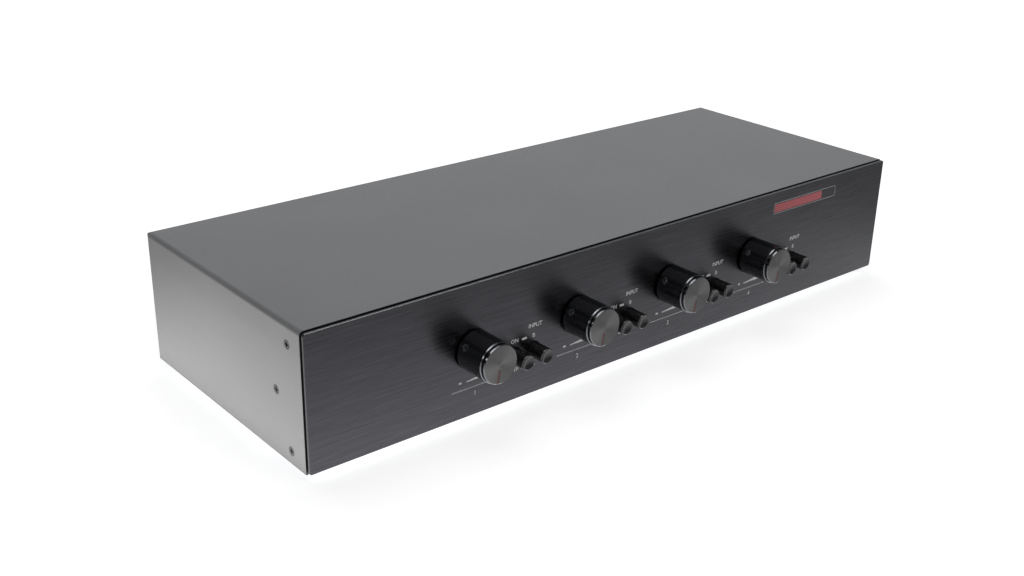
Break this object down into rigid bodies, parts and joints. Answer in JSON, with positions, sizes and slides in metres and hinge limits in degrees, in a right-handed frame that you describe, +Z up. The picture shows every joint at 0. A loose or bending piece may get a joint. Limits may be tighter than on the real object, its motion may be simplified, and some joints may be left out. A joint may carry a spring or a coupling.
{
  "type": "speaker selector switch",
  "caption": "Full-width desktop switch box that shares amplifier inputs among speaker zones, each with a stepped volume knob, an on/off button and an input button.",
  "frame": {"origin": "on the surface that the feet stand on, below the middle of the whole part", "axes": "+X to the right across the case as seen from the front, the front faces -Y, +Z up"},
  "size_m": [0.43, 0.1896, 0.0787],
  "materials": {
    "cover_paint": "satin",
    "rear_paint": "satin",
    "black_anodised_aluminium": "brushed, black anodised",
    "zinc_steel": "zinc plated",
    "black_screws": "black zinc",
    "zinc_screws": "zinc plated",
    "foot_rubber": "matte",
    "board_laminate": "solder mask",
    "spacer_brass": "turned",
    "header_nylon": "moulded",
    "core_steel": "laminated",
    "coil_tape": "taped",
    "wire_sleeve": "sleeved",
    "terminal_plastic": "moulded",
    "switch_phenolic": "moulded",
    "spun_aluminium": "spun",
    "knob_black": "gloss black anodised",
    "button_plastic": "moulded",
    "print_ink": "screen printed",
    "pointer_enamel": "filled and wiped"
  },
  "bodies": {
    "case": {"base_tray": "zinc_steel", "front_chassis": "rear_paint", "front_panel": "black_anodised_aluminium", "rear_panel": "rear_paint", "top_cover": "cover_paint", "cover_side_screws": "black_screws", "cover_rear_screws": "black_screws", "chassis_screws": "zinc_screws", "front_stud_nuts": "zinc_screws", "rubber_feet": "foot_rubber", "foot_screws": "zinc_screws", "control_board": "board_laminate", "board_spacers": "spacer_brass", "board_screws": "zinc_screws", "board_headers": "header_nylon", "bushing_nuts": "zinc_screws", "bushing_washers": "zinc_screws", "push_switch_bodies": "header_nylon", "transformer_cores": "core_steel", "transformer_coils": "coil_tape", "transformer_straps": "zinc_steel", "transformer_screws": "zinc_screws", "terminal_board": "board_laminate", "terminal_screws": "zinc_screws", "wire_looms": "wire_sleeve", "terminal_block_input_a": "terminal_plastic", "terminal_block_input_b": "terminal_plastic", "terminal_block_output_1": "terminal_plastic", "terminal_block_output_2": "terminal_plastic", "terminal_block_output_3": "terminal_plastic", "terminal_block_output_4": "terminal_plastic", "rotary_switch_1": "switch_phenolic", "rotary_switch_2": "switch_phenolic", "rotary_switch_3": "switch_phenolic", "rotary_switch_4": "switch_phenolic"},
    "volume_1": {"knob_1": "knob_black", "knob_cap_1": "spun_aluminium", "knob_grub_screw_1": "zinc_screws", "rotor_shaft_1": "zinc_screws"},
    "volume_2": {"knob_2": "knob_black", "knob_cap_2": "spun_aluminium", "knob_grub_screw_2": "zinc_screws", "rotor_shaft_2": "zinc_screws"},
    "volume_3": {"knob_3": "knob_black", "knob_cap_3": "spun_aluminium", "knob_grub_screw_3": "zinc_screws", "rotor_shaft_3": "zinc_screws"},
    "volume_4": {"knob_4": "knob_black", "knob_cap_4": "spun_aluminium", "knob_grub_screw_4": "zinc_screws", "rotor_shaft_4": "zinc_screws"},
    "on_button_1": {"on_button_1": "button_plastic"},
    "on_button_2": {"on_button_2": "button_plastic"},
    "on_button_3": {"on_button_3": "button_plastic"},
    "on_button_4": {"on_button_4": "button_plastic"},
    "input_button_1": {"input_button_1": "button_plastic"},
    "input_button_2": {"input_button_2": "button_plastic"},
    "input_button_3": {"input_button_3": "button_plastic"},
    "input_button_4": {"input_button_4": "button_plastic"}
  },
  "joints": [
    {"name": "volume_1_turn", "type": "hinge", "parent": "case", "child": "volume_1", "pos_m": [-0.1187, -0.0732, 0.0426], "axis": [0, 1, 0], "range_deg": [0, 330]},
    {"name": "volume_2_turn", "type": "hinge", "parent": "case", "child": "volume_2", "pos_m": [-0.0491, -0.0732, 0.0426], "axis": [0, 1, 0], "range_deg": [0, 330]},
    {"name": "volume_3_turn", "type": "hinge", "parent": "case", "child": "volume_3", "pos_m": [0.0205, -0.0732, 0.0426], "axis": [0, 1, 0], "range_deg": [0, 330]},
    {"name": "volume_4_turn", "type": "hinge", "parent": "case", "child": "volume_4", "pos_m": [0.0901, -0.0732, 0.0426], "axis": [0, 1, 0], "range_deg": [0, 330]},
    {"name": "on_button_1_press", "type": "slide", "parent": "case", "child": "on_button_1", "axis": [0, 1, 0], "range_m": [0, 0.003], "stiffness_N_per_m": 400, "springref_m": -0.004},
    {"name": "on_button_2_press", "type": "slide", "parent": "case", "child": "on_button_2", "axis": [0, 1, 0], "range_m": [0, 0.003], "stiffness_N_per_m": 400, "springref_m": -0.004},
    {"name": "on_button_3_press", "type": "slide", "parent": "case", "child": "on_button_3", "axis": [0, 1, 0], "range_m": [0, 0.003], "stiffness_N_per_m": 400, "springref_m": -0.004},
    {"name": "on_button_4_press", "type": "slide", "parent": "case", "child": "on_button_4", "axis": [0, 1, 0], "range_m": [0, 0.003], "stiffness_N_per_m": 400, "springref_m": -0.004},
    {"name": "input_button_1_press", "type": "slide", "parent": "case", "child": "input_button_1", "axis": [0, 1, 0], "range_m": [0, 0.003], "stiffness_N_per_m": 400, "springref_m": -0.004},
    {"name": "input_button_2_press", "type": "slide", "parent": "case", "child": "input_button_2", "axis": [0, 1, 0], "range_m": [0, 0.003], "stiffness_N_per_m": 400, "springref_m": -0.004},
    {"name": "input_button_3_press", "type": "slide", "parent": "case", "child": "input_button_3", "axis": [0, 1, 0], "range_m": [0, 0.003], "stiffness_N_per_m": 400, "springref_m": -0.004},
    {"name": "input_button_4_press", "type": "slide", "parent": "case", "child": "input_button_4", "axis": [0, 1, 0], "range_m": [0, 0.003], "stiffness_N_per_m": 400, "springref_m": -0.004}
  ]
}
